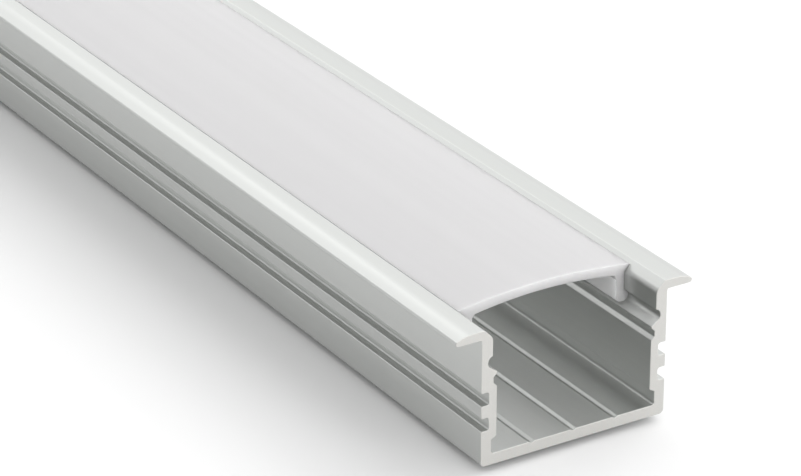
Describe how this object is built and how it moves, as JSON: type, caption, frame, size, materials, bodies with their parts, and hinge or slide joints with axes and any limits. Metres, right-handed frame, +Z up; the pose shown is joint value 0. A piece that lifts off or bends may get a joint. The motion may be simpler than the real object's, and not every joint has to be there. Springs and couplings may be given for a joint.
{
  "type": "recessed led strip profile with cover",
  "caption": "Aluminium channel with flanges for recessing LED strip into a panel, with clip grooves, and an opal cover that snaps in from above and slides along it",
  "frame": {"origin": "on the base, in the middle of the channel's length and width", "axes": "+Y along the run, away from the end where the cover stands back; +X across the flanges; +Z up, out of the open side of the channel"},
  "size_m": [0.028, 0.2, 0.0155],
  "materials": {
    "anodised_channel": "fine satin anodising, silver",
    "opal_cover": "milky translucent plastic, satin"
  },
  "bodies": {
    "channel_body": {"channel": "anodised_channel"},
    "cover_body": {"diffuser": "opal_cover"}
  },
  "joints": [
    {"name": "cover_slide", "type": "slide", "parent": "channel_body", "child": "cover_body", "axis": [0, 1, 0], "range_m": [-0.185, 0.1795]}
  ]
}
